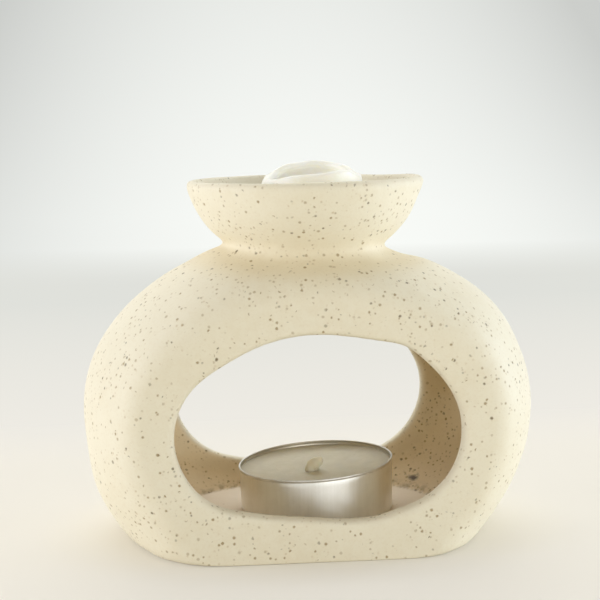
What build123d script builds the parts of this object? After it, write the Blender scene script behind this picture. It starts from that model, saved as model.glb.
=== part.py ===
"""Table burner for wax melts and oils: an oval stoneware shell with a bowl on top and a tealight inside.

Millimetres, +Z up, origin on the table under the middle of the base, front towards -Y.
"""

import os
from math import atan2, cos, degrees, radians, sin, sqrt

from build123d import *

os.makedirs("parts", exist_ok=True)

# Body: an oval seen from the front, flat on its front and back, bulging round its side
body_half_width = 54.0
body_half_depth = 29.0
widest_height = 31.4
body_rise = 40.5  # from the widest level up to the top of the oval
body_drop = 47.8  # from the widest level down to where the oval would close, below the base
band_crown = 11.6  # how far the side bulges out past the edge of the front face
front_edge_radius = 8.0
wall = 5.0
floor_thickness = 4.5
base_edge_radius = 1.5
depth_shares = (-1, -0.75, -0.4, 0, 0.4, 0.75, 1)
inner_edge_share = 0.2  # least rounding inside the front edge, of the wall

# Foot: a shallow recess leaves a ring to stand on
foot_width = 9.0
foot_recess = 0.8
foot_corner_share = 0.6  # of the recess's half depth

# Window: an oval cut straight through the front and the back wall
window_half_width = 32.6
window_lip = 4.7  # from the chamber floor up to the window's lowest point
window_drop = 19.8  # from the window's lowest point up to its widest level
window_rise = 23.2
window_corner_share = 0.91  # of the drop
window_edge_share = 0.25  # rounding of the window's edges, of the wall
floor_round_share = 0.25  # rounding where the wall meets the floor, of the lip

# Bowl: a flared dish pinched where it meets the body, one casting with it
bowl_foot_radius = 15.0  # where the flare starts, inside the body's wall
neck_fillet = 0.8
rim_radius = 28.4
bowl_height = 13.3  # from the top of the oval to the top of the lip
bowl_bulge = 2.2
bowl_floor = 5.2  # clay between the chamber's ceiling and the dish
lip_thickness = 3.0

# Tealight: pressed cup, wax pellet, wick and the tab that holds the wick upright
tealight_x = 1.8
tealight_y = 0.5
cup_radius = 19.0  # over the rolled rim
cup_height = 11.9
cup_wall = 0.3
cup_bead_radius = 0.35
cup_corner_radius = 1.0
wax_level = 2.2  # below the top of the cup
wax_dip = 0.6
fit_clearance = 0.05
sustainer_radius = 6.2
sustainer_thickness = 0.3
collar_wall = 0.5
collar_height = 3.5
wick_offset = 1.0  # how far the wick stands left of the cup's middle
wick_radius = 1.3
wick_stand = 0.2  # straight wick above the wax
wick_bend_radius = 1.4
wick_bend_angle = 130

# Wax melt: a round-bottomed casting with a sunken top, lying askew in the dish
melt_x = 1.5
melt_y = 0.0
melt_radius = 12.2
melt_collar = 3.4  # straight side above the round bottom
melt_rim = 2.2
melt_dish = 4.0
melt_tilt = 7.0
seat_gap = 0.3

# One length by which every cut runs past the faces it opens
overrun = 5.0

# Levels and places that follow from the sizes above
band_radius = (body_half_depth**2 + band_crown**2) / (2 * band_crown)
body_top = widest_height + body_rise
base_half_width = body_half_width * sqrt(1 - (widest_height / body_drop) ** 2)
window_widest = floor_thickness + window_lip + window_drop
rim_height = body_top + bowl_height
dish_bottom = body_top - wall + bowl_floor
dish_edge_radius = rim_radius - lip_thickness
dish_edge_height = rim_height - lip_thickness / 2
dish_depth = dish_edge_height - dish_bottom
dish_radius = (dish_edge_radius**2 + dish_depth**2) / (2 * dish_depth)
cup_wall_radius = cup_radius - cup_bead_radius
cup_inner_radius = cup_wall_radius - cup_wall
wax_top = cup_height - wax_level
cup_plane = Plane((tealight_x, tealight_y, floor_thickness), x_dir=(1, 0, 0), z_dir=(0, -1, 0))
wick_foot = (tealight_x - wick_offset, tealight_y, floor_thickness)
wick_plane = Plane(wick_foot, x_dir=(1, 0, 0), z_dir=(0, -1, 0))
wick_floor_plane = Plane(wick_foot)
cup_axis = Axis((tealight_x, tealight_y, 0), (0, 0, 1))


def band_inset(depth, radius):
    """How far the crowned side has drawn in at this depth from the middle."""
    return radius - sqrt(radius**2 - depth**2)


def oval_solid(inset, bottom, bottom_radius):
    """The body's oval drawn in by inset all round, cut off flat at bottom and rounded there."""
    half_width = body_half_width - inset
    half_depth = body_half_depth - inset
    edge_radius = max(front_edge_radius - inset, wall * inner_edge_share)
    with BuildPart() as oval:
        for depth_share in depth_shares:
            depth = half_depth * depth_share
            scale_share = 1 - band_inset(depth, band_radius - inset) / half_width
            across = half_width * scale_share
            with BuildSketch(Plane.XZ.offset(depth)):
                with BuildLine():
                    up = (body_rise - inset) * scale_share
                    down = (body_drop - inset) * scale_share
                    EllipticalCenterArc((0, widest_height), across, up, 0, arc_size=180)
                    EllipticalCenterArc((0, widest_height), across, down, 180, arc_size=180)
                make_face()
        loft()
        fillet(oval.faces().filter_by(Axis.Y).edges(), edge_radius)
        split(bisect_by=Plane.XY.offset(bottom), keep=Keep.TOP)
        fillet(oval.faces().sort_by(Axis.Z)[0].edges(), bottom_radius)
    return oval.part


# Burner body
window_corner = window_drop * window_corner_share
window_corner_x = window_half_width - window_corner
window_sill_span = window_corner_x**2 + window_drop**2 - window_corner**2
window_sill_radius = window_sill_span / (2 * (window_drop - window_corner))
window_sill_centre = window_widest - window_drop + window_sill_radius
window_turn = degrees(atan2(window_corner_x, window_sill_radius - window_drop))
recess_half_depth = body_half_depth - foot_width

with BuildPart() as burner_body:
    add(oval_solid(0, 0, base_edge_radius))

    # The bowl, its flare rooted in the body's wall
    with BuildSketch(Plane.XZ):
        with BuildLine():
            root = Line((0, body_top - wall / 2), (bowl_foot_radius, body_top - wall))
            SagittaArc(root @ 1, (rim_radius, dish_edge_height), -bowl_bulge)
            lip = CenterArc((rim_radius - lip_thickness / 2, dish_edge_height), lip_thickness / 2, 0, 180)
            dish = TangentArc((0, dish_bottom), lip @ 1, tangent=(1, 0))
            Line(dish @ 0, root @ 0)
        make_face()
    revolve(axis=Axis.Z)
    fillet(burner_body.edges(Select.NEW), neck_fillet)

    # The chamber
    add(oval_solid(wall, floor_thickness, window_lip * floor_round_share), mode=Mode.SUBTRACT)

    # The window, front to back
    with BuildSketch(Plane.XZ):
        with BuildLine():
            EllipticalCenterArc((0, window_widest), window_half_width, window_rise, 0, arc_size=180)
            CenterArc((-window_corner_x, window_widest), window_corner, 180, 90 - window_turn)
            CenterArc((0, window_sill_centre), window_sill_radius, 270 - window_turn, 2 * window_turn)
            CenterArc((window_corner_x, window_widest), window_corner, 270 + window_turn, 90 - window_turn)
        make_face()
    extrude(amount=body_half_depth + overrun, both=True, mode=Mode.SUBTRACT)
    fillet(burner_body.edges(Select.NEW), wall * window_edge_share)

    # The recess under the base
    with BuildSketch(Plane.XY):
        RectangleRounded(
            2 * (base_half_width - foot_width),
            2 * recess_half_depth,
            recess_half_depth * foot_corner_share,
        )
    extrude(amount=foot_recess, mode=Mode.SUBTRACT)

burner_body.part.label = "burner_body"
export_step(burner_body.part, "parts/burner_body.step")

# Tealight cup
bead_height = cup_height - cup_bead_radius
corner_x = cup_wall_radius - cup_corner_radius

with BuildPart() as tealight_cup:
    with BuildSketch(cup_plane):
        with BuildLine():
            base = Line((0, 0), (corner_x, 0))
            turn = CenterArc((corner_x, cup_corner_radius), cup_corner_radius, 270, 90)
            side = Line(turn @ 1, (cup_wall_radius, bead_height))
            top = Line(side @ 1, (cup_inner_radius, bead_height))
            inside = Line(top @ 1, (cup_inner_radius, cup_corner_radius))
            inner_turn = CenterArc((corner_x, cup_corner_radius), cup_corner_radius - cup_wall, 0, -90)
            inner_base = Line(inner_turn @ 1, (0, cup_wall))
            Line(inner_base @ 1, base @ 0)
        make_face()
        with Locations((cup_wall_radius, bead_height)):
            Circle(cup_bead_radius)
    revolve(axis=cup_axis)

tealight_cup.part.label = "tealight_cup"
export_step(tealight_cup.part, "parts/tealight_cup.step")

# Wick sustainer: a tin disc with a collar crimped round the wick
collar_bore = wick_radius + fit_clearance
collar_radius = collar_bore + collar_wall
collar_top = cup_wall + collar_height

with BuildPart() as wick_sustainer:
    with BuildSketch(wick_floor_plane.offset(cup_wall)):
        Circle(sustainer_radius)
    extrude(amount=sustainer_thickness)
    with BuildSketch(wick_floor_plane.offset(cup_wall)):
        Circle(collar_radius)
    extrude(amount=collar_height)
    with BuildSketch(wick_floor_plane.offset(cup_wall)):
        Circle(collar_bore)
    extrude(amount=collar_height, mode=Mode.SUBTRACT)

wick_sustainer.part.label = "wick_sustainer"
export_step(wick_sustainer.part, "parts/wick_sustainer.step")

# Wax pellet, cast round the wick and its sustainer
wax_radius = cup_inner_radius - fit_clearance
wax_bottom = cup_wall + fit_clearance

with BuildPart() as tealight_wax:
    with BuildSketch(cup_plane):
        with BuildLine():
            under = Line((0, wax_bottom), (corner_x, wax_bottom))
            wax_turn = CenterArc((corner_x, cup_corner_radius), cup_corner_radius - wax_bottom, 270, 90)
            edge = Line(wax_turn @ 1, (wax_radius, wax_top))
            surface = TangentArc((0, wax_top - wax_dip), edge @ 1, tangent=(1, 0))
            Line(surface @ 0, under @ 0)
        make_face()
    revolve(axis=cup_axis)
    with BuildSketch(wick_floor_plane):
        Circle(sustainer_radius + fit_clearance)
    extrude(amount=cup_wall + sustainer_thickness + fit_clearance, mode=Mode.SUBTRACT)
    with BuildSketch(wick_floor_plane):
        Circle(collar_radius + fit_clearance)
    extrude(amount=collar_top + fit_clearance, mode=Mode.SUBTRACT)
    with BuildSketch(wick_floor_plane):
        Circle(wick_radius + fit_clearance)
    extrude(amount=cup_height, mode=Mode.SUBTRACT)

tealight_wax.part.label = "tealight_wax"
export_step(tealight_wax.part, "parts/tealight_wax.step")

# Wick, its free end bent over to the right
with BuildPart() as wick:
    with BuildLine(wick_plane):
        stem = Line((0, cup_wall), (0, wax_top + wick_stand))
        JernArc(stem @ 1, stem % 1, wick_bend_radius, -wick_bend_angle)
    with BuildSketch(wick_floor_plane.offset(cup_wall)):
        Circle(wick_radius)
    sweep()

wick.part.label = "wick"
export_step(wick.part, "parts/wick.step")

# Wax melt, its axis leaning to the front
lean = radians(melt_tilt)
seat_radius = dish_radius - melt_radius - seat_gap
melt_height = dish_bottom + dish_radius - sqrt(seat_radius**2 - melt_x**2 - melt_y**2)
melt_centre = (melt_x, melt_y, melt_height)
melt_plane = Plane(melt_centre, x_dir=(1, 0, 0), z_dir=(0, -cos(lean), -sin(lean)))
melt_axis = Axis(melt_centre, (0, -sin(lean), cos(lean)))
rim_round = melt_rim / 2

with BuildPart() as wax_melt:
    with BuildSketch(melt_plane):
        with BuildLine():
            round_bottom = CenterArc((0, 0), melt_radius, 270, 90)
            collar = Line(round_bottom @ 1, (melt_radius, melt_collar - rim_round))
            melt_lip = CenterArc((melt_radius - rim_round, melt_collar - rim_round), rim_round, 0, 180)
            hollow = TangentArc((0, melt_collar - melt_dish), melt_lip @ 1, tangent=(1, 0))
            Line(hollow @ 0, round_bottom @ 0)
        make_face()
    revolve(axis=melt_axis)

wax_melt.part.label = "wax_melt"
export_step(wax_melt.part, "parts/wax_melt.step")
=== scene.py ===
from math import cos, pi, radians, sin, sqrt

import bpy
import numpy as np
from mathutils import Matrix, Vector, noise


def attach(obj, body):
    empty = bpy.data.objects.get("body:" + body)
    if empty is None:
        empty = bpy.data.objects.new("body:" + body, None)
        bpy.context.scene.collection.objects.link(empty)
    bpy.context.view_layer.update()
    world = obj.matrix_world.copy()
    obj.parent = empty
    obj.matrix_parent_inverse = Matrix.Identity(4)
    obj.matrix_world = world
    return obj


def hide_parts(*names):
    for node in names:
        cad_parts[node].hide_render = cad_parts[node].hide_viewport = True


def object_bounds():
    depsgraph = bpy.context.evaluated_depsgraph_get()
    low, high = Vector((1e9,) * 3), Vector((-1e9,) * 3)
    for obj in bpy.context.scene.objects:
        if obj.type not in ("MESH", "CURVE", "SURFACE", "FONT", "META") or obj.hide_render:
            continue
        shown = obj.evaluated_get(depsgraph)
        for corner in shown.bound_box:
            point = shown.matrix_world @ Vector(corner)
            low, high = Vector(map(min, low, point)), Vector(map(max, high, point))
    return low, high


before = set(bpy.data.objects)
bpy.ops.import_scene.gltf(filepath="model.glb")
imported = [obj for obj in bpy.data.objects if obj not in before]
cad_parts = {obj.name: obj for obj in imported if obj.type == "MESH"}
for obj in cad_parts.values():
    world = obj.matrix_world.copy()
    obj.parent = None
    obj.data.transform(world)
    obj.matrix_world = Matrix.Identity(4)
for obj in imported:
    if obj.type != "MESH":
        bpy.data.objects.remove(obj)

scene = bpy.context.scene
scene.view_settings.view_transform = "Standard"
cad_low, cad_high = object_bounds()
mm = 0.001

# Places and sizes in millimetres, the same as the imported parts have
floor_level = 4.5
cup_x, cup_y = 1.8, 0.5
cup_height = 11.9
cup_wall = 0.3
cup_outer = 18.65  # the cup's side, under its rolled rim
cup_corner = 1.0
wax_radius = 18.3
wax_edge = 9.7  # from the cup's underside up to the wax at its wall
wick_x, wick_y = 0.8, 0.5
wick_radius = 1.3
wick_bend = 1.4
wick_turn = radians(130)
melt_x, melt_y = 1.5, 0.0
melt_radius = 12.2

# What the shown tealight has of its own
bead_radius = 0.26
rim_slant = 0.06  # rise of the rim for each millimetre to the right


# Node helpers
def new_material(name):
    material = bpy.data.materials.new(name)
    material.use_nodes = True
    return material, material.node_tree, material.node_tree.nodes["Principled BSDF"]


def fill(tree, node, inputs):
    """Links or sets each input that is named."""
    for socket, value in inputs.items():
        if isinstance(value, bpy.types.NodeSocket):
            tree.links.new(value, node.inputs[socket])
        else:
            node.inputs[socket].default_value = value


def add(tree, kind, inputs=None, **settings):
    """A new node with its settings made and its inputs filled."""
    node = tree.nodes.new(kind)
    for key, value in settings.items():
        setattr(node, key, value)
    fill(tree, node, inputs or {})
    return node


def sums(tree, operation, first, second, clamp=False):
    return add(tree, "ShaderNodeMath", {0: first, 1: second}, operation=operation, use_clamp=clamp).outputs[0]


def times(tree, first, second):
    return sums(tree, "MULTIPLY", first, second)


def vector(tree, operation, *values):
    """A sum with vectors: a length or a dot product gives a number, and the others give a vector."""
    node = add(tree, "ShaderNodeVectorMath", dict(enumerate(values)), operation=operation)
    return node.outputs["Value" if operation in ("LENGTH", "DOT_PRODUCT") else "Vector"]


def mix_colour(tree, factor, first, second, blend="MIX"):
    inputs = {0: factor, 6: first, 7: second}
    return add(tree, "ShaderNodeMix", inputs, data_type="RGBA", blend_type=blend).outputs[2]


def tinted(tree, amount, base, tint):
    """The base colour, multiplied by a tint as far as the amount says."""
    return mix_colour(tree, amount, base, mix_colour(tree, 1.0, base, tint, blend="MULTIPLY"))


def ranged(tree, value, low, high, to_low=0, to_high=1):
    """The range from low to high stretched to the new range, and held at its ends."""
    inputs = {"Value": value, "From Min": low, "From Max": high, "To Min": to_low, "To Max": to_high}
    return add(tree, "ShaderNodeMapRange", inputs).outputs[0]


def millimetres(tree):
    """The place on the object at rest, in millimetres."""
    place = add(tree, "ShaderNodeTexCoord").outputs["Object"]
    return vector(tree, "MULTIPLY", place, (1000, 1000, 1000))


def from_cup_axis(tree, place):
    """The place measured from the cup's axis, and the same with no height."""
    centred = vector(tree, "SUBTRACT", place, (cup_x, cup_y, 0))
    return centred, vector(tree, "MULTIPLY", centred, (1, 1, 0))


def cloud(tree, place, wavelength, detail=3.0, roughness=0.5, output=0):
    """Noise whose blotches are about a wavelength apart, in millimetres."""
    inputs = {"Vector": place, "Scale": 1 / wavelength, "Detail": detail, "Roughness": roughness}
    return add(tree, "ShaderNodeTexNoise", inputs).outputs[output]


def mask(tree, name):
    """A share from 0 to 1 that the mesh carries at each of its points."""
    return add(tree, "ShaderNodeAttribute", attribute_name=name).outputs["Fac"]


def looked_at(tree):
    """1 where a surface is seen directly, in a reflection or through something clear."""
    path = add(tree, "ShaderNodeLightPath").outputs
    mirrored = sums(tree, "MAXIMUM", path["Is Glossy Ray"], path["Is Transmission Ray"])
    return sums(tree, "MAXIMUM", path["Is Camera Ray"], mirrored)


def bump(tree, height, depth, below=None):
    """A normal from a height of 0 to 1 that stands depth millimetres high."""
    inputs = {"Height": height, "Distance": depth * mm, "Strength": 1.0}
    if below is not None:
        inputs["Normal"] = below
    return add(tree, "ShaderNodeBump", inputs).outputs[0]


# Stoneware: cream clay with a matt glaze and iron specks
speck_least = 0.55  # smallest speck, as a share of the largest
speck_edge = 0.25  # soft edge of a speck, in millimetres
fray = (0.3, 0.3, 0.3)
spot_place = (30.3, 16.8, 8.1)
spot_fray = (2.4, 2.4, 2.4)
spot_squeeze = (0.5, 0.5, 1.1)
spot_colour = (0.05, 0.03, 0.02, 1)

# Iron specks from faint to dark: their spacing, largest radius, share of places and range of strengths
speck_kinds = (
    dict(colour=(0.46, 0.32, 0.15, 1), cell=1.0, radius=0.42, share=0.3, strengths=(0.15, 0.45)),
    dict(colour=(0.26, 0.155, 0.02, 1), cell=1.15, radius=0.5, share=0.43, strengths=(0.35, 0.75)),
    dict(colour=(0.11, 0.065, 0.012, 1), cell=1.7, radius=0.52, share=0.33, strengths=(0.45, 0.85)),
)


def clay_colour(tree, place, mottle):
    """Cream, a little warmer and paler in turn."""
    cream = (0.80, 0.735, 0.575, 1)
    pale_cream = (0.825, 0.77, 0.62, 1)
    chalk = (0.84, 0.79, 0.645, 1)
    sand = (0.74, 0.65, 0.475, 1)
    drift = cloud(tree, place, 22.0, detail=2.0)
    grain = cloud(tree, place, 0.6)
    base = mix_colour(tree, ranged(tree, drift, 0.35, 0.65), cream, pale_cream)
    base = mix_colour(tree, ranged(tree, mottle, 0.4, 0.62, 0, 0.5), base, chalk)
    return mix_colour(tree, ranged(tree, grain, 0.5, 0.75, 0, 0.3), base, sand)


def chamber_colour_and_shade(tree, place, mottle, base, wall, floor, floor_edge):
    """Painted shade in the chamber: darker, browner walls and foot; a pinker floor made paler as painted
    light, with darker blotches along its edge; painted shade in the crease under the bowl.
    """
    pink_clay_and_light = (0.83, 0.72, 0.58, 1)
    pale_pink_clay_and_light = (0.90, 0.81, 0.69, 1)
    dark_edge = (0.20, 0.135, 0.06, 1)
    # Painted shade: the walls inside the chamber darker and browner
    base = tinted(tree, wall, base, (0.96, 0.85, 0.70, 1))
    # Painted shade in the crease under the bowl
    base = tinted(tree, mask(tree, "neck_crease_shade"), base, (0.96, 0.91, 0.82, 1))
    # Painted shade on the lower walls, round the coved floor
    base = tinted(tree, mask(tree, "chamber_foot_shade"), base, (0.93, 0.90, 0.86, 1))
    # The floor's own pinker clay, made paler as painted light
    base = mix_colour(tree, floor, base, mix_colour(tree, mottle, pink_clay_and_light, pale_pink_clay_and_light))
    # Darker blotches along the floor's edge
    edge_darkening = times(tree, floor_edge, ranged(tree, cloud(tree, place, 1.8), 0.45, 0.65, 0.05, 0.55))
    return mix_colour(tree, edge_darkening, base, dark_edge)


def speckled(tree, base, place, cluster, colour, cell, radius, share, strengths):
    """The base colour with specks scattered over it, and how far each point lies inside a speck."""
    field = add(tree, "ShaderNodeTexVoronoi", {"Vector": place, "Scale": 1 / cell}).outputs
    drawn = add(tree, "ShaderNodeSeparateColor", {0: field["Color"]}).outputs
    kept = sums(tree, "GREATER_THAN", times(tree, drawn[0], cluster), 1 - share)
    size = times(tree, ranged(tree, drawn[2], 0, 1, speck_least * radius, radius), kept)
    away = times(tree, field["Distance"], cell)
    inside = sums(tree, "DIVIDE", sums(tree, "SUBTRACT", size, away), speck_edge, clamp=True)
    strength = times(tree, inside, ranged(tree, drawn[1], 0, 1, *strengths))
    return mix_colour(tree, strength, base, colour), inside


def speck_cluster(tree, place, wall, floor, floor_edge):
    """How thickly the specks lie: in loose clusters, more along the floor's edge and fewer on the floor."""
    gather = ranged(tree, cloud(tree, place, 9.0, detail=2.0), 0.35, 0.65, 0.75, 1.15)
    group = ranged(tree, cloud(tree, place, 2.8, detail=1.0), 0.38, 0.62, 0.6, 1.3)
    gather = times(tree, gather, group)
    gather = sums(tree, "ADD", gather, times(tree, floor_edge, 0.6))
    gather = sums(tree, "ADD", gather, times(tree, wall, 0.3))
    return times(tree, gather, ranged(tree, floor, 0, 1, 1.0, 0.55))


def iron_spot(tree, place, frayed, base):
    """One large iron spot burnt into the right wall."""
    tug = cloud(tree, place, 1.6, output="Color")
    tugged = vector(tree, "MULTIPLY_ADD", tug, spot_fray, frayed)
    apart = vector(tree, "SUBTRACT", tugged, spot_place)
    away = vector(tree, "LENGTH", vector(tree, "MULTIPLY", apart, spot_squeeze))
    return mix_colour(tree, ranged(tree, away, 0.3, 1.1, 0.9, 0), base, spot_colour)


def stoneware():
    material, tree, shader = new_material("stoneware")
    place = millimetres(tree)
    wander = cloud(tree, place, 0.5, detail=2.0, output="Color")
    frayed = vector(tree, "ADD", place, vector(tree, "MULTIPLY", wander, fray))
    mottle = cloud(tree, place, 2.6, detail=4.0, roughness=0.6)
    chamber = [mask(tree, name) for name in ("chamber_wall", "chamber_floor", "chamber_edge")]
    cluster = speck_cluster(tree, place, *chamber)
    base = clay_colour(tree, place, mottle)
    base = chamber_colour_and_shade(tree, place, mottle, base, *chamber)
    for kind in speck_kinds:
        base, inside = speckled(tree, base, frayed, cluster, **kind)
    base = iron_spot(tree, place, frayed, base)

    # Matt glaze: a soft orange peel, fine tooth and a pit inside each speck of the last and darkest kind
    normal = bump(tree, cloud(tree, place, 2.2, detail=2.0), 0.05)
    normal = bump(tree, cloud(tree, place, 0.35), 0.016, normal)
    normal = bump(tree, sums(tree, "SUBTRACT", 1.0, inside), 0.06, normal)
    roughness = ranged(tree, mottle, 0.3, 0.7, 0.5, 0.66)
    surface = {"Base Color": base, "Roughness": roughness, "Specular IOR Level": 0.35, "Normal": normal}
    fill(tree, shader, surface)
    return material


# Other materials
def foil():
    material, tree, shader = new_material("drawn_aluminium")
    place = millimetres(tree)
    centred, level = from_cup_axis(tree, place)
    x, y, z = add(tree, "ShaderNodeSeparateXYZ", {0: centred}).outputs

    # Bright metal with streaks up the side and dull smears
    bright = (0.86, 0.855, 0.83, 1)
    brighter = (0.90, 0.895, 0.875, 1)
    smeared = (0.72, 0.70, 0.65, 1)
    along = times(tree, sums(tree, "ARCTAN2", y, x), cup_outer)
    side_place = add(tree, "ShaderNodeCombineXYZ", {0: along, 1: times(tree, z, 0.04), 2: 0.0}).outputs[0]
    streaks = cloud(tree, side_place, 0.7, detail=4.0, roughness=0.65)
    smears = cloud(tree, place, 3.5, detail=4.0, roughness=0.6)
    grain = cloud(tree, place, 0.25, detail=2.0)
    base = mix_colour(tree, ranged(tree, streaks, 0.35, 0.65), bright, brighter)
    base = mix_colour(tree, ranged(tree, smears, 0.5, 0.75, 0, 0.3), base, smeared)

    # Painted shade: the cup's inner face darker and browner, and the rolled edge darker in patches
    inside_shade = (0.50, 0.45, 0.35, 1)
    edge_shade = (0.47, 0.44, 0.37, 1)
    edge_start, edge_full = floor_level + 10.95, floor_level + 11.2
    faced = add(tree, "ShaderNodeNewGeometry").outputs["Normal"]
    outward = vector(tree, "DOT_PRODUCT", vector(tree, "NORMALIZE", level), faced)
    base = mix_colour(tree, times(tree, ranged(tree, outward, -0.5, 0, 1, 0), 0.8), base, inside_shade)
    upright = sums(tree, "SUBTRACT", z, times(tree, x, rim_slant))
    edge = ranged(tree, upright, edge_start, edge_full)
    # Painted shade on the rolled edge, in patches
    base = mix_colour(tree, times(tree, edge, ranged(tree, smears, 0.3, 0.6, 0.2, 0.5)), base, edge_shade)

    # Satin, and duller on the smears and the edge
    sheen = ranged(tree, streaks, 0.3, 0.7, 0.29, 0.33)
    roughness = sums(tree, "ADD", sheen, ranged(tree, smears, 0.4, 0.7, 0, 0.07))
    roughness = sums(tree, "ADD", roughness, times(tree, edge, 0.15))
    normal = bump(tree, grain, 0.0005, bump(tree, streaks, 0.0015))
    around = add(tree, "ShaderNodeTangent", direction_type="RADIAL", axis="Z").outputs[0]
    fill(tree, shader, {"Base Color": base, "Roughness": roughness, "Normal": normal, "Tangent": around})
    fill(tree, shader, {"Metallic": 1.0, "Anisotropic": 0.3, "Anisotropic Rotation": 0.25})
    return material


def let_light_in(tree, shader, weight, radius, reach):
    """Light goes some way under the surface, with its reach in millimetres."""
    inputs = {"Subsurface Weight": weight, "Subsurface Radius": radius, "Subsurface Scale": reach * mm}
    fill(tree, shader, inputs)


def candle_wax():
    material, tree, shader = new_material("candle_wax")
    place = millimetres(tree)
    ivory = (0.67, 0.64, 0.51, 1)
    pale_ivory = (0.74, 0.71, 0.59, 1)
    fleck = (0.60, 0.54, 0.42, 1)
    rim_shade = (0.55, 0.49, 0.37, 1)
    rim_start, rim_full = 15.5, 18.2
    bloom = cloud(tree, place, 3.0, detail=5.0, roughness=0.6)
    flecks = cloud(tree, place, 0.9)
    base = mix_colour(tree, ranged(tree, bloom, 0.35, 0.65), ivory, pale_ivory)
    base = mix_colour(tree, ranged(tree, flecks, 0.62, 0.72, 0, 0.35), base, fleck)
    out = vector(tree, "LENGTH", from_cup_axis(tree, place)[1])
    base = mix_colour(tree, ranged(tree, out, rim_start, rim_full, 0, 0.6), base, rim_shade)
    ripple = cloud(tree, place, 5.0, detail=2.0)
    normal = bump(tree, flecks, 0.015, bump(tree, ripple, 0.12))
    roughness = ranged(tree, bloom, 0.3, 0.7, 0.46, 0.6)
    fill(tree, shader, {"Base Color": base, "Roughness": roughness, "Normal": normal})
    let_light_in(tree, shader, 0.35, (1.0, 0.8, 0.55), 1.5)
    return material


def melt_wax():
    material, tree, shader = new_material("melt_wax")
    place = millimetres(tree)
    milk = (0.87, 0.855, 0.77, 1)
    pale_milk = (0.90, 0.89, 0.84, 1)
    frosted = (0.90, 0.90, 0.88, 1)
    bloom = cloud(tree, place, 4.0, detail=4.0, roughness=0.55)
    frost = cloud(tree, place, 0.8)
    base = mix_colour(tree, ranged(tree, bloom, 0.35, 0.65), milk, pale_milk)
    base = mix_colour(tree, ranged(tree, frost, 0.55, 0.7, 0, 0.4), base, frosted)
    normal = bump(tree, frost, 0.02, bump(tree, bloom, 0.15))
    roughness = ranged(tree, bloom, 0.3, 0.7, 0.3, 0.45)
    fill(tree, shader, {"Base Color": base, "Roughness": roughness, "Normal": normal})
    let_light_in(tree, shader, 0.6, (1.0, 0.9, 0.7), 3.0)
    return material


def wick_cotton():
    material, tree, shader = new_material("waxed_cotton")
    place = millimetres(tree)
    straw = (0.96, 0.90, 0.73, 1)
    pale_straw = (0.97, 0.92, 0.78, 1)
    thread = (0.98, 0.94, 0.80, 1)
    fibre = cloud(tree, place, 0.18)
    patch = cloud(tree, place, 1.2, detail=2.0)
    base = mix_colour(tree, ranged(tree, patch, 0.35, 0.65), straw, pale_straw)
    base = mix_colour(tree, ranged(tree, fibre, 0.45, 0.7, 0, 0.5), base, thread)
    fill(tree, shader, {"Base Color": base, "Roughness": 0.6, "Normal": bump(tree, fibre, 0.05)})
    let_light_in(tree, shader, 0.4, (1.0, 0.8, 0.5), 2.0)
    return material


def tinplate():
    material, tree, shader = new_material("tinplate")
    rolled = vector(tree, "MULTIPLY", millimetres(tree), (1.0, 0.06, 1.0))
    lines = cloud(tree, rolled, 0.3)
    grey = (0.56, 0.56, 0.54, 1)
    pale_grey = (0.70, 0.70, 0.68, 1)
    base = mix_colour(tree, ranged(tree, lines, 0.35, 0.65), grey, pale_grey)
    roughness = ranged(tree, lines, 0.3, 0.7, 0.28, 0.42)
    normal = bump(tree, lines, 0.01)
    fill(tree, shader, {"Base Color": base, "Metallic": 1.0, "Roughness": roughness, "Normal": normal})
    return material


# Mesh helpers
def make_piece(name, points, faces, body, material, node):
    """A piece with its points in millimetres, which rides on a body and stands for a node."""
    mesh = bpy.data.meshes.new(name)
    mesh.from_pydata((np.asarray(points) * mm).tolist(), [], faces)
    mesh.update()
    mesh.polygons.foreach_set("use_smooth", [True] * len(mesh.polygons))
    mesh.materials.append(material)
    piece = bpy.data.objects.new(name, mesh)
    scene.collection.objects.link(piece)
    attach(piece, body)
    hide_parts(node)


def band_faces(rings, segments, wrap=False):
    """Quads between rings of equal length; wrap joins the last ring to the first."""
    faces = []
    for i in range(rings if wrap else rings - 1):
        a, b = i * segments, (i + 1) % rings * segments
        for j in range(segments):
            k = (j + 1) % segments
            faces.append((a + j, a + k, b + k, b + j))
    return faces


def capped(rings):
    """Points and faces of a skin over the rings, closed by a point in the middle of each end."""
    rings = np.asarray(rings)
    count, segments = rings.shape[:2]
    points = np.concatenate([rings.reshape(-1, 3), [rings[0].mean(0), rings[-1].mean(0)]])
    faces = band_faces(count, segments)
    first, last, end = count * segments, count * segments + 1, (count - 1) * segments
    for j in range(segments):
        k = (j + 1) % segments
        faces.append((first, k, j))
        faces.append((last, end + j, end + k))
    return points, faces


def full_turn(segments):
    """Evenly spaced angles round a circle."""
    return np.arange(segments) / segments * 2 * pi


def ring(x, y, radius, angle, height):
    """Points round an upright axis; the radius and the height may change with the angle."""
    heights = np.broadcast_to(height, angle.shape)
    return np.stack([x + radius * np.cos(angle), y + radius * np.sin(angle), heights], 1)


def smooth_step(value, low, high):
    """Rises smoothly from 0 at low to 1 at high."""
    t = np.clip((value - low) / (high - low), 0, 1)
    return t * t * (3 - 2 * t)


def between(value, start, full, fade, end):
    """Rises from 0 at start to 1 at full, and goes back from 1 at fade to 0 at end."""
    return smooth_step(value, start, full) * (1 - smooth_step(value, fade, end))


def swell(value, middle, width):
    """A smooth hump that is 1 at its middle."""
    return np.exp(-(((value - middle) / width) ** 2))


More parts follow.
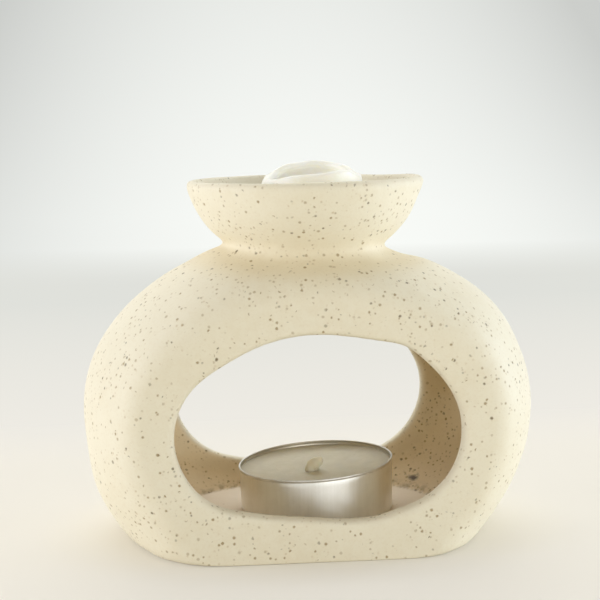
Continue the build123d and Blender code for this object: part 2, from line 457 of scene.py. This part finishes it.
def evened(points, edges, weight, rounds):
    """The points drawn towards the middle of their neighbours, each by its own weight."""
    points = points.copy()
    ends = np.concatenate([edges[:, 0], edges[:, 1]])
    others = np.concatenate([edges[:, 1], edges[:, 0]])
    degree = np.bincount(ends, minlength=len(points))
    for _ in range(rounds):
        total = [np.bincount(ends, points[others, axis], len(points)) for axis in range(3)]
        points += weight[:, None] * (np.stack(total, 1) / degree[:, None] - points)
    return points


# Burner body: an even skin over the casting, with the small unevenness of a hand-finished pot
voxel_size = 0.8
neck_level = 69.5
chamber_bottom, chamber_middle, chamber_top = 4.2, 28, 66
floor_half_width, floor_half_depth = 31.5, 23
floor_steepness = 14  # rise of the coved floor, for each of its half widths further out
cove_height = 11.5
evening_weight = 0.6

# How far the hand finish moves the clay, in millimetres
left_flank = 1.5
left_foot, right_foot, front_foot = 2.7, 0.7, 1.5
shoulder_out, shoulder_up, shoulder_dip = 0.9, 0.4, 1.0
neck_up, neck_in = 0.6, 1.3
bowl_in, rim_in = 0.5, 0.15
rim_up, rim_back_drop = 0.47, 0.35
rim_rise, rim_back_loss = 0.0105, 0.01  # for each millimetre to the right
back_window_in = 1.0
wave_height, wave_length = 0.14, 17
ripple_share, ripple_length = 0.35, 6

# Humps along the front window's edges: height, place from left to right, and width
sill_humps = ((0.7, -15, 12), (0.5, -3, 6), (-0.6, 12.5, 6))
head_humps = ((1.2, 20, 6), (-1.1, -23, 14), (-0.6, 3, 12))


def humps(x, rows):
    return sum(height * swell(x, middle, width) for height, middle, width in rows)


def sponge_wave(point):
    """The shallow waves that sponging leaves, from about -1 to 1."""
    place = Vector(point)
    return noise.noise(place / wave_length) + ripple_share * noise.noise(place / ripple_length)


def voxel_skin(node):
    """The node's solid as an even mesh of small quads."""
    source = bpy.data.objects.new("casting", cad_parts[node].data.copy())
    scene.collection.objects.link(source)
    voxels = source.modifiers.new("voxels", "REMESH")
    voxels.mode = "VOXEL"
    voxels.voxel_size = voxel_size * mm
    even = source.modifiers.new("even", "SMOOTH")
    even.factor = 0.5
    even.iterations = 6
    skin = bpy.data.meshes.new_from_object(source.evaluated_get(bpy.context.evaluated_depsgraph_get()))
    bpy.data.objects.remove(source)
    return skin


def read_rows(items, name, width, kind):
    """One row of numbers for each of a mesh's vertices or edges."""
    flat = np.zeros(len(items) * width, kind)
    items.foreach_get(name, flat)
    return flat.reshape(-1, width)


def soft_neck(points, edges):
    """The bowl runs softly into the shoulder at the front and the back."""
    x, y, z = points.T
    reach = np.hypot(x, y)
    neck = swell(z, neck_level, 3.5) * between(reach, 14, 17, 23, 27)
    neck *= smooth_step(np.abs(y) / np.maximum(reach, 1), 0.3, 0.8)
    return evened(points, edges, evening_weight * neck, 60)


def hand_shaped(points):
    """The points as a hand leaves them: each move is an amount times where it acts, in millimetres."""
    x, y, z = points.T
    reach = np.hypot(x, y)
    moved = points.copy()

    # The left flank and the foot are fuller, and so is the right shoulder
    moved[:, 0] -= left_flank * smooth_step(-x, 36, 50) * swell(z, 12, 9)
    moved[:, 0] -= left_foot * smooth_step(-x, 18, 34) * swell(z, 0, 9)
    moved[:, 0] += right_foot * smooth_step(x, 20, 34) * swell(z, 0, 5)
    moved[:, 1] += front_foot * np.sign(y) * smooth_step(np.abs(y), 14, 22) * swell(z, 0, 4)
    shoulder = smooth_step(x, 26, 40)
    moved[:, 0] += shoulder_out * shoulder * swell(z, 55, 8)
    moved[:, 2] += shoulder_up * shoulder * swell(z, 57, 8)

    # The neck is higher on the left. On the right it is drawn in, with the bowl, and the shoulder dips
    right = smooth_step(x / np.maximum(reach, 1), 0.5, 0.9)
    left = smooth_step(-x / np.maximum(reach, 1), 0.5, 0.9)
    collar = between(reach, 13, 16, 26, 30)
    bowl = smooth_step(reach, 12, 20) * smooth_step(z, 71, 74)
    moved[:, 2] += neck_up * left * collar * swell(z, neck_level, 3.0)
    moved[:, 0] -= neck_in * right * collar * swell(z, 70, 2.6)
    moved[:, 0] -= right * bowl * (bowl_in - (bowl_in - rim_in) * smooth_step(z, 80, 84))
    moved[:, 2] -= shoulder_dip * right * swell(reach, 24, 5) * swell(z, 67.5, 3.5)

    # The rim rises to the right, but hardly at the back
    lift = rim_up + rim_rise * x - (rim_back_drop + rim_back_loss * x) * smooth_step(y, 4, 20)
    moved[:, 2] += lift * smooth_step(z, 76, 84) * smooth_step(reach, 18, 24)

    # The windows were cut by hand: the front one is fuller to the right, the back one tighter on the left
    front = smooth_step(-y, 14, 24)
    moved[:, 2] += front * (humps(x, sill_humps) * swell(z, 9, 5) + humps(x, head_humps) * swell(z, 48, 6))
    moved[:, 0] += back_window_in * smooth_step(y, 14, 24) * swell(x, -33, 6) * swell(z, 33, 6)
    return moved


def chamber_share(points, normals):
    """1 on the chamber's own skin, and 0 on the rest of the casting."""
    x, y, z = points.T
    outward = np.stack([x, y, z - chamber_middle], 1)
    facing = (normals * outward).sum(1) / np.maximum(np.linalg.norm(outward, axis=1), 1)
    inside = smooth_step(-facing, 0.05, 0.3)
    return inside * (z > chamber_bottom) * (z < chamber_top) * (1 - smooth_step(np.abs(y), 23.6, 25.5))


def coved_floor(moved, height, inside, oval, edges):
    """Inside, the walls come in round the corners of the floor."""
    moved = moved.copy()
    risen = floor_steepness * np.maximum(0, oval - 1)
    moved[:, 2] += inside * risen * np.clip(1 - (height - floor_level) / cove_height, 0, 1)
    corner = inside * smooth_step(oval, 1.01, 1.08) * (1 - smooth_step(height, 20, 30))
    return evened(moved, edges, evening_weight * corner, 150)


def body_masks(points, moved, inside, oval):
    """What the stoneware's colours and its painted shade need to know, as shares from 0 to 1."""
    x, y, z = points.T
    floor = inside * (1 - smooth_step(oval, 0.985, 1.015)) * (1 - smooth_step(z, 5, 6.5))
    beside = inside * (1 - floor)
    wall = beside * smooth_step(y, -16, -4)
    return {
        "chamber_wall": wall,
        "chamber_floor": floor,
        # Painted shade on the lower walls
        "chamber_foot_shade": wall * (1 - smooth_step(moved[:, 2], 8, 18)),
        # Painted shade under the bowl
        "neck_crease_shade": swell(z, 66.3, 4.6) * between(np.hypot(x, y), 12, 15, 24, 32),
        "chamber_edge": beside * swell(oval, 1.03, 0.05) * (z < 8),
    }


def make_body(material):
    skin = voxel_skin("burner_body")
    normals = read_rows(skin.vertices, "normal", 3, np.float32).astype(float)
    edges = read_rows(skin.edges, "vertices", 2, np.int32)
    points = soft_neck(read_rows(skin.vertices, "co", 3, np.float32).astype(float) / mm, edges)
    x, y, z = points.T
    inside = chamber_share(points, normals)
    oval = np.sqrt((x / floor_half_width) ** 2 + (y / floor_half_depth) ** 2)
    moved = coved_floor(hand_shaped(points), z, inside, oval, edges)
    masks = body_masks(points, moved, inside, oval)

    wave = np.array([sponge_wave(point) for point in points])
    moved += normals * (wave_height * wave * smooth_step(z, 1, 6))[:, None]
    moved = np.clip(moved, np.array(cad_low) / mm, np.array(cad_high) / mm)
    skin.vertices.foreach_set("co", (moved * mm).astype(np.float32).ravel())
    skin.polygons.foreach_set("use_smooth", [True] * len(skin.polygons))
    skin.materials.clear()
    skin.materials.append(material)
    for name, values in masks.items():
        skin.attributes.new(name, "FLOAT", "POINT").data.foreach_set("value", values.astype(np.float32))
    skin.update()
    skin.name = "stoneware_body"
    piece = bpy.data.objects.new("stoneware_body", skin)
    scene.collection.objects.link(piece)
    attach(piece, "burner")
    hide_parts("burner_body")


# Tealight: the cup stands flat, and its rim, the wax and the wick slant up to the right
lean_share = 0.35  # how far the side leans with the slant of the rim
lean_level = 9.0


def slanted(points):
    points = np.array(points)
    height = points[:, 2] - floor_level
    out = np.hypot(points[:, 0] - cup_x, points[:, 1] - cup_y)
    points[:, 2] += rim_slant * (points[:, 0] - cup_x) * smooth_step(height, 1.5, lean_level)
    points[:, 0] -= lean_share * rim_slant * (height - lean_level) * smooth_step(out, 5, 15)
    return points


# A drawn cup with fine upright flutes and a rolled edge
groove_height = 0.25
flute_count = 128
flute_depth = 0.008
side_sway = 0.05


def arc(radius, height, bend, start, end, count):
    """Section points on a bend; the angles run from straight down, outwards and up."""
    return [(radius + bend * sin(a), height - bend * cos(a)) for a in np.linspace(start, end, count)]


def noise_round(angle, radius, level):
    """Noise read along a circle, so that it closes on itself."""
    return np.array([noise.noise(Vector((radius * cos(a), radius * sin(a), level))) for a in angle])


def make_cup(material):
    angle = full_turn(4 * flute_count)
    corner = cup_outer - cup_corner
    bead = cup_height - bead_radius
    inner = cup_outer - cup_wall
    section = [(r, 0.0) for r in (0.5, 6.0, 12.0, 15.5, 15.9)]
    section += [(16.3, groove_height), (16.8, groove_height), (17.2, 0.0)]
    section += arc(corner, cup_corner, cup_corner, 0.1, pi / 2, 7)
    section += [(cup_outer, h) for h in np.linspace(1.6, bead - 0.7, 9)]
    section += [(cup_outer - 0.03, bead - 0.5), (cup_outer - 0.04, bead - 0.38)]
    section += arc(cup_outer, bead, bead_radius, 0.5, 2 * pi - 0.6, 16)
    section += [(inner, h) for h in np.linspace(bead - 0.6, cup_corner, 6)]
    section += arc(corner, cup_corner, cup_corner - cup_wall, pi / 2 - 0.3, 0, 5)
    section += [(r, cup_wall) for r in (12.0, 6.0, 0.5)]
    flutes = flute_depth * (0.6 + 0.4 * noise_round(angle, 3.1, 4.0)) * np.cos(flute_count * angle)
    uneven = flutes + side_sway * noise_round(angle, 1.3, 9.0)
    rings = []
    for radius, height in section:
        upright = float(between(height, 1.0, 2.5, 10.2, 11.0)) * (radius > 17)
        rings.append(ring(cup_x, cup_y, radius + upright * uneven, angle, floor_level + height))
    points, faces = capped(rings)
    make_piece("tealight_foil", slanted(points), faces, "tealight", material, "tealight_cup")


# Candle wax: drawn up at the cup's wall and at the wick, hollow underneath for the sustainer
wick_bore = 1.36
wax_dip = 0.75
wall_climb, wall_reach = 1.15, 1.3
wick_climb, wick_reach = 0.45, 0.7
wax_ripple = 0.06


def wax_surface(x, y):
    """The height of the wax over the underside of the cup."""
    away = np.hypot(x - cup_x, y - cup_y) / wax_radius
    height = wax_edge - wax_dip * (1 - away**2)
    height = height + wall_climb * np.exp(-(wax_radius - away * wax_radius) / wall_reach)
    height = height + wick_climb * np.exp(-(np.hypot(x - wick_x, y - wick_y) - wick_bore) / wick_reach)
    return height + wax_ripple * np.array([noise.noise(Vector((a / 5, b / 5, 2.0))) for a, b in zip(x, y)])


def make_wax(material):
    angle = full_turn(128)
    under, tab_top, collar_top = 0.35, 0.65, 3.85
    tab_room, collar_room = 6.25, 1.9

    # Each row has its place between the wick's axis and the cup's, a radius and, under the surface, a height
    shares = np.concatenate([np.linspace(0, 0.8, 20), np.linspace(0.82, 1, 14)])
    rows = [(share, wick_bore + (wax_radius - wick_bore) * share, None) for share in shares]
    rows += [(1, wax_radius, h) for h in (9.0, 7.0, 4.0, 1.4)]
    rows += [(1, wax_radius - 0.2, 0.7), (1, wax_radius - 0.65, under), (1, 14.0, under), (0.4, 9.0, under)]
    rows += [(0, tab_room, under), (0, tab_room, tab_top), (0, collar_room, tab_top)]
    rows += [(0, collar_room, collar_top), (0, wick_bore, collar_top), (0, wick_bore, 7.0)]
    rings = []
    for share, radius, height in rows:
        middle_x = wick_x + (cup_x - wick_x) * share
        middle_y = wick_y + (cup_y - wick_y) * share
        if height is None:
            height = wax_surface(middle_x + radius * np.cos(angle), middle_y + radius * np.sin(angle))
        rings.append(ring(middle_x, middle_y, radius, angle, floor_level + height))
    points = slanted(np.concatenate(rings))
    faces = band_faces(len(rings), len(angle), wrap=True)
    make_piece("candle_pellet", points, faces, "tealight", material, "tealight_wax")


# Wick: a round braid, waxed, bent over at its free end
wick_low = 0.32
wick_straight = wax_edge - 0.3
braid_turn = 2.1  # radians for each millimetre along the wick
braid_relief = 0.1
free_swelling = 0.3  # how much thicker the free end is than the part deep in the wax
tip_round = 0.5


def wick_thickness(angle, along, left_over):
    """The wick's radius round one place along it, with that much of its length left over."""
    right_lay = np.abs(np.cos(2 * angle + braid_turn * along))
    left_lay = np.abs(np.cos(2 * angle - braid_turn * along + 0.8))
    radius = wick_radius * (1 - braid_relief + braid_relief * np.maximum(right_lay, left_lay) ** 2)
    radius = radius * (1 + free_swelling * float(smooth_step(along, wax_edge - 2.6, wax_edge - 1.6)))
    if left_over < tip_round:
        radius = radius * sqrt(max(0.25, 1 - (1 - left_over / tip_round) ** 2))
    return radius


def make_wick(material):
    angle = full_turn(48)
    bend_length = wick_bend * wick_turn
    sideways = np.array([0, 1, 0])
    stem = np.linspace(wick_low, wick_straight, 60)
    bend = wick_straight + np.linspace(0.05, 1, 26) * bend_length
    rings = []
    for along in np.concatenate([stem, bend]):
        turned = max(0.0, along - wick_straight) / wick_bend
        across = np.array([cos(turned), 0, -sin(turned)])
        height = floor_level + min(along, wick_straight) + wick_bend * sin(turned)
        centre = np.array([wick_x + wick_bend * (1 - cos(turned)), wick_y, height])
        radius = wick_thickness(angle, along, wick_straight + bend_length - along)
        outline = np.outer(radius * np.cos(angle), across) + np.outer(radius * np.sin(angle), sideways)
        rings.append(centre + outline)
    points, faces = capped(rings)
    make_piece("braided_wick", slanted(points), faces, "tealight", material, "wick")


# Wax melt: a cast shell with a lobed lip, high at the back
melt_middle = 84.7
melt_hollow = 4.8
wall_thickness, thickness_change = 1.9, 0.3
lip_draft = 0.1

# Degrees round the melt from its right side, and the height of the lip there
lip_heights = (
    (0, 86.2), (10, 86.6), (23, 87.3), (37, 88.1), (53, 88.9), (90, 89.2), (126, 88.0),
    (143, 86.6), (165, 85.5), (180, 85.2), (200, 85.3), (218, 85.6), (234, 85.9), (247, 86.5),
    (262, 86.8), (273, 86.5), (286, 87.1), (299, 87.6), (310, 87.5), (318, 87.0), (338, 86.2),
)


def lip_height(angle):
    """The lip's height at each angle, with its corners rounded and a fine scallop."""
    known, heights = np.array(lip_heights, float).T
    known = np.concatenate([known - 360, known, known + 360])
    lip = np.interp(np.degrees(angle), known, np.tile(heights, 3))
    window = np.hanning(13)
    lip = np.convolve(np.tile(lip, 3), window / window.sum(), mode="same")[len(angle) : 2 * len(angle)]
    return lip + 0.12 * np.cos(9 * angle + 0.6)


def make_melt(material):
    angle = full_turn(192)
    lip = lip_height(angle)
    thick = wall_thickness + thickness_change * np.cos(2 * angle)
    outer = melt_radius - 0.15 + 0.12 * np.cos(5 * angle + 0.4)
    roll = lip - thick / 2

    # Round bottom, upright side, rolled lip and the hollow, each as rings of radius and height
    rings = []
    for a in np.linspace(0.06, pi / 2, 16):
        height = np.minimum(melt_middle - melt_radius * cos(a), roll - 0.6 * cos(a) - 0.05)
        rings.append((outer * sin(a), height))
    side = rings[-1][1]
    for t in (0.3, 0.6, 0.85):
        rings.append((outer - lip_draft * t, side + t * (roll - side)))
    for a in np.linspace(0, 1.25 * pi, 16):
        rings.append((outer - lip_draft - thick / 2 * (1 - cos(a)), lip - thick / 2 * (1 - sin(a))))
    inner, edge = rings[-1]
    bottom = lip.mean() - melt_hollow
    for t in np.linspace(0.04, 0.97, 20):
        drop = 1 - (1 - t) ** 3
        ripple = 0.4 * np.cos(5 * angle + 1.2) * sin(pi * t) * (1 - t)
        rings.append((inner * (1 - t), edge + (bottom - edge) * drop + ripple))
    points, faces = capped([ring(melt_x, melt_y, radius, angle, height) for radius, height in rings])
    make_piece("scented_melt", points, faces, "melt", material, "wax_melt")


make_body(stoneware())
make_cup(foil())
make_wax(candle_wax())
make_wick(wick_cotton())
make_melt(melt_wax())
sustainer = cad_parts["wick_sustainer"]
sustainer.data.materials.clear()
sustainer.data.materials.append(tinplate())

# Camera, with its place in metres, its angles in degrees and its lens in millimetres
camera_place = (-0.0310, -0.3175, 0.0992)
camera_azimuth, camera_heading, camera_pitch, camera_roll = -5.58, -0.286, 7.71, -0.75
sensor_width = 36
focal_length = 80


def make_camera():
    azimuth, heading = radians(camera_azimuth), radians(camera_heading)
    pitch, roll = radians(camera_pitch), radians(camera_roll)
    ahead = Vector((-sin(azimuth), cos(azimuth), 0))
    across = Vector((cos(azimuth), sin(azimuth), 0))
    upright = Vector((0, 0, 1))
    level = cos(heading) * ahead + sin(heading) * across
    side = cos(heading) * across - sin(heading) * ahead
    forward = cos(pitch) * level - sin(pitch) * upright
    top = sin(pitch) * level + cos(pitch) * upright
    right = cos(roll) * side + sin(roll) * top
    up = cos(roll) * top - sin(roll) * side
    data = bpy.data.cameras.new("camera")
    data.sensor_width = sensor_width
    data.lens = focal_length
    data.clip_start = 0.01
    data.clip_end = 20
    camera = bpy.data.objects.new("camera", data)
    scene.collection.objects.link(camera)
    turn = Matrix([(right[i], up[i], -forward[i]) for i in range(3)]).to_4x4()
    camera.matrix_world = Matrix.Translation(camera_place) @ turn
    scene.camera = camera


make_camera()


# Light: a soft box on each side, one low in front, one overhead and one behind, in a pale room
def soft_box(name, place, target, size, power, colour):
    data = bpy.data.lights.new(name, "AREA")
    data.shape = "RECTANGLE"
    data.size, data.size_y = size
    data.energy = power
    data.color = colour
    lamp = bpy.data.objects.new(name, data)
    scene.collection.objects.link(lamp)
    lamp.visible_camera = False
    lamp.location = place
    lamp.rotation_euler = (Vector(target) - Vector(place)).to_track_quat("-Z", "Y").to_euler()


# Each box has its place, what it points at, its size in metres, its power in watts and its colour
soft_box("left_box", (-0.88, -0.1, 0.22), (0, 0, 0.04), (0.7, 0.42), 5.7, (0.88, 0.915, 1.0))
soft_box("right_box", (0.9, 0.05, 0.22), (0, 0, 0.04), (0.7, 0.42), 4.9, (0.67, 0.80, 1.0))
soft_box("front_box", (0.46, -0.62, 0.15), (0, 0, 0.04), (1.2, 0.28), 2.7, (0.96, 0.985, 0.98))
soft_box("top_box", (0, 0.4, 0.85), (0, 0, 0), (0.8, 0.8), 2.4, (0.92, 0.97, 1.0))
soft_box("back_box", (0, 0.48, 0.48), (0, 0, 0.02), (0.9, 0.34), 1.4, (0.97, 0.99, 1.0))


# The room is warm and dim to the object, and pale where it is seen directly or in a reflection
def make_room():
    world = bpy.data.worlds.new("room")
    scene.world = world
    world.use_nodes = True
    tree = world.node_tree
    room = tree.nodes["Background"]
    fill(tree, room, {"Color": (1.0, 0.885, 0.65, 1), "Strength": 0.32})
    pale = add(tree, "ShaderNodeBackground", {"Color": (0.80, 0.80, 0.77, 1), "Strength": 1.0})
    both = add(tree, "ShaderNodeMixShader", {0: looked_at(tree), 1: room.outputs[0], 2: pale.outputs[0]})
    fill(tree, tree.nodes["World Output"], {"Surface": both.outputs[0]})


make_room()

# Floor and backdrop: one pale sweep, in metres
sweep_half_width = 2.2
sweep_front, sweep_bend, sweep_top = -1.6, 0.5, 2.6


def paper():
    material, tree, shader = new_material("paper_sweep")
    fill(tree, shader, {"Base Color": (0.90, 0.86, 0.77, 1), "Roughness": 0.9, "Specular IOR Level": 0.1})
    place = add(tree, "ShaderNodeTexCoord").outputs["Object"]
    x, y, z = add(tree, "ShaderNodeSeparateXYZ", {0: place}).outputs

    # Seen directly or in a reflection, the far part keeps one soft glow whatever the lamps do
    white = (0.98, 1.0, 0.965, 1)
    near_table = (0.88, 0.85, 0.785, 1)
    far_table = (0.745, 0.752, 0.71, 1)
    glow_middle, glow_level = 0.078, 0.03
    most_glow, least_glow = 0.97, 0.62
    side_fade, height_fade = 3.4, 0.73
    aside = sums(tree, "POWER", sums(tree, "SUBTRACT", x, glow_middle), 2.0)
    aloft = sums(tree, "MAXIMUM", sums(tree, "SUBTRACT", z, glow_level), 0.0)
    dim = sums(tree, "ADD", times(tree, aside, side_fade), times(tree, aloft, height_fade))
    glow = sums(tree, "MAXIMUM", sums(tree, "SUBTRACT", most_glow, dim), least_glow)
    grey = add(tree, "ShaderNodeCombineColor", {0: glow, 1: glow, 2: glow}).outputs[0]
    wall = mix_colour(tree, 1.0, white, grey, blend="MULTIPLY")
    table = mix_colour(tree, ranged(tree, y, 0.05, 0.42), near_table, far_table)
    seen = mix_colour(tree, ranged(tree, z, 0.0, 0.012), table, wall)
    light = add(tree, "ShaderNodeEmission", {"Color": seen, "Strength": 1.0})

    # Near the object the paper takes its light from the lamps, and keeps the object's shadow
    near_oval = (22, 33, 0)  # one over its half width and half depth
    flat = add(tree, "ShaderNodeCombineXYZ", {0: x, 1: y}).outputs[0]
    away = vector(tree, "LENGTH", flat)
    beside = vector(tree, "LENGTH", vector(tree, "MULTIPLY", flat, near_oval))
    far = sums(tree, "MAXIMUM", ranged(tree, y, 0.02, 0.12), ranged(tree, away, 0.25, 0.5))
    far = sums(tree, "MAXIMUM", far, ranged(tree, beside, 0.95, 1.5, 0.15, 0.5))
    share = times(tree, looked_at(tree), far)
    both = add(tree, "ShaderNodeMixShader", {0: share, 1: shader.outputs[0], 2: light.outputs[0]})
    fill(tree, tree.nodes["Material Output"], {"Surface": both.outputs[0]})
    return material


def make_sweep():
    profile = [(sweep_front, 0.0), (0.0, 0.0), (sweep_bend, 0.0)]
    for a in np.linspace(0, pi / 2, 25)[1:]:
        profile.append((sweep_bend + sweep_bend * sin(a), sweep_bend - sweep_bend * cos(a)))
    profile.append((2 * sweep_bend, sweep_top))
    points = [(x, y, z) for y, z in profile for x in (-sweep_half_width, sweep_half_width)]
    faces = [(2 * i, 2 * i + 1, 2 * i + 3, 2 * i + 2) for i in range(len(profile) - 1)]
    mesh = bpy.data.meshes.new("sweep")
    mesh.from_pydata(points, [], faces)
    mesh.polygons.foreach_set("use_smooth", [True] * len(mesh.polygons))
    mesh.materials.append(paper())
    sweep = bpy.data.objects.new("sweep", mesh)
    scene.collection.objects.link(sweep)


make_sweep()
